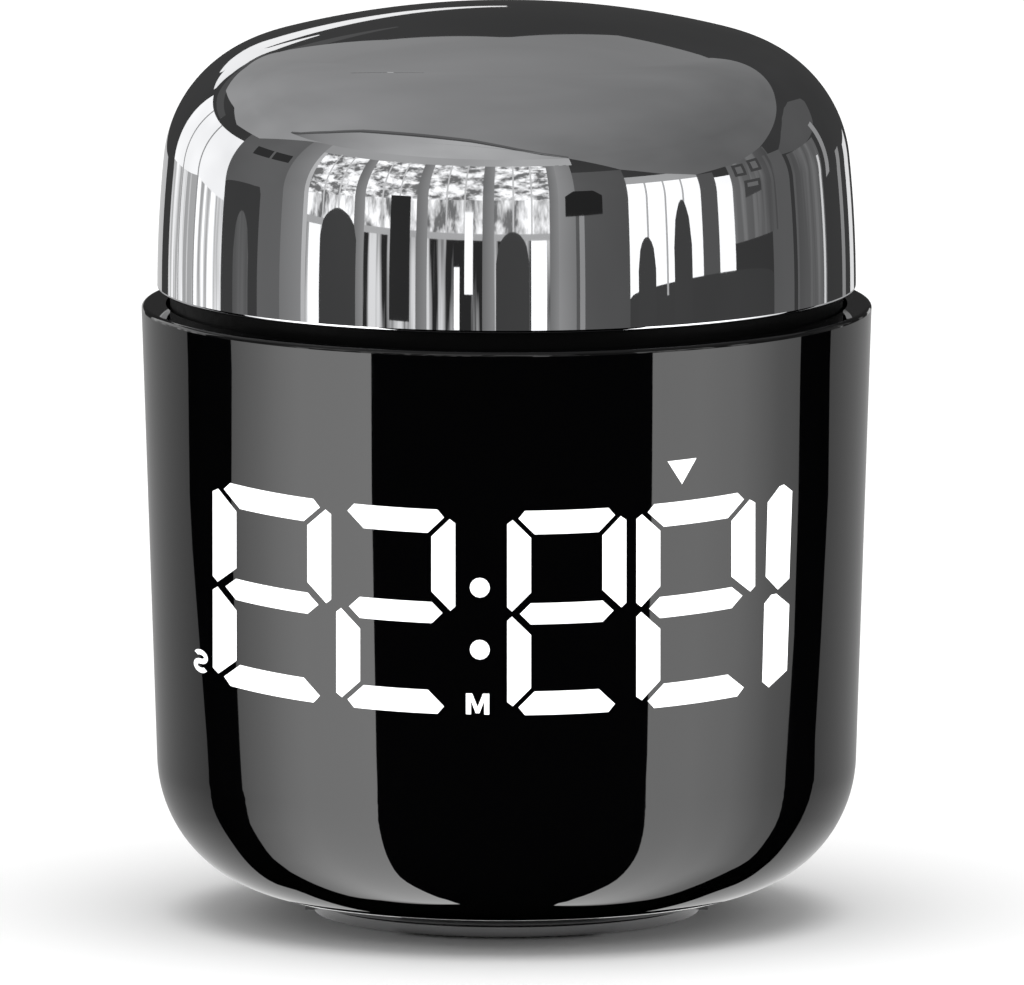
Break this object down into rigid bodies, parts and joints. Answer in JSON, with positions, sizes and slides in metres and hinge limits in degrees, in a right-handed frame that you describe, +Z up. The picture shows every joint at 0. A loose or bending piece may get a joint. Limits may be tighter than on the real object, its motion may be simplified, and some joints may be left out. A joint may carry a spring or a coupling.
{
  "type": "rotary countdown alarm timer",
  "caption": "Tumbler-shaped alarm timer with a domed chrome knob that turns and presses, a wrap-round lit digit display and a twist-off battery base.",
  "frame": {"origin": "centre of the round foot ring, on the surface that the timer stands on", "axes": "+Z up along the knob's turning axis, -Y towards the front with the display, +X to the viewer's right"},
  "size_m": [0.066, 0.066, 0.0825],
  "materials": {
    "smoked_shell": "polished smoked black, nearly opaque",
    "chrome_plate": "mirror-bright plated plastic",
    "black_plastic": "fine satin black",
    "cover_plastic": "gloss black moulding",
    "white_plastic": "matt white reflector plastic",
    "milky_plastic": "milky diffuser, lit from behind",
    "lamp": "clear lamp resin",
    "grey_plastic": "moulded dark grey",
    "circuit_board": "green solder mask on glass fibre",
    "chip_plastic": "moulded epoxy",
    "ribbon": "flat flexible cable",
    "capacitor_can": "sleeved can",
    "cell_jacket": "plain metal jacket",
    "contact_metal": "nickel-plated strip",
    "screw_steel": "zinc-plated steel",
    "foot_rubber": "soft non-slip rubber"
  },
  "bodies": {
    "housing": {"outer_shell": "smoked_shell", "light_well_frame": "white_plastic", "light_guides": "milky_plastic", "display_leds": "lamp", "display_board": "circuit_board", "driver_chip": "chip_plastic", "board_ribbon": "ribbon", "battery_chassis": "grey_plastic", "display_screws": "screw_steel", "foot_screws": "screw_steel", "left_cell": "cell_jacket", "right_cell": "cell_jacket", "rear_cell": "cell_jacket", "upper_output_contact": "contact_metal", "upper_bridge_contact": "contact_metal", "right_cell_spring": "contact_metal", "return_rod": "contact_metal", "control_board": "circuit_board", "control_chip": "chip_plastic", "buzzer": "black_plastic", "smoothing_capacitor": "capacitor_can", "timing_crystal": "screw_steel", "board_resistors": "chip_plastic", "encoder_base": "black_plastic", "encoder_pins": "contact_metal", "encoder_bushing": "screw_steel", "encoder_washer": "screw_steel", "encoder_nut": "screw_steel", "switch_dome": "screw_steel", "top_deck": "black_plastic", "deck_screws": "screw_steel"},
    "push_plunger": {"switch_plunger": "white_plastic"},
    "knob": {"encoder_shaft": "screw_steel", "knob_carrier": "black_plastic", "knob_screws": "screw_steel", "knob_cap": "chrome_plate"},
    "battery_door": {"battery_cover": "cover_plastic", "foot_ring": "foot_rubber", "lower_bridge_contact": "contact_metal", "lower_return_contact": "contact_metal", "left_cell_spring": "contact_metal", "rear_cell_spring": "contact_metal"}
  },
  "joints": [
    {"name": "knob_press", "type": "slide", "parent": "housing", "child": "push_plunger", "axis": [0, 0, -1], "range_m": [0, 0.0006], "stiffness_N_per_m": 2000, "springref_m": -0.0015},
    {"name": "knob_turn", "type": "hinge", "parent": "push_plunger", "child": "knob", "pos_m": [0, 0, 0.06], "axis": [0, 0, 1], "continuous": true},
    {"name": "battery_door_twist", "type": "hinge", "parent": "housing", "child": "battery_door", "pos_m": [0, 0, 0.002], "axis": [0, 0, -1], "range_deg": [0, 40]}
  ]
}
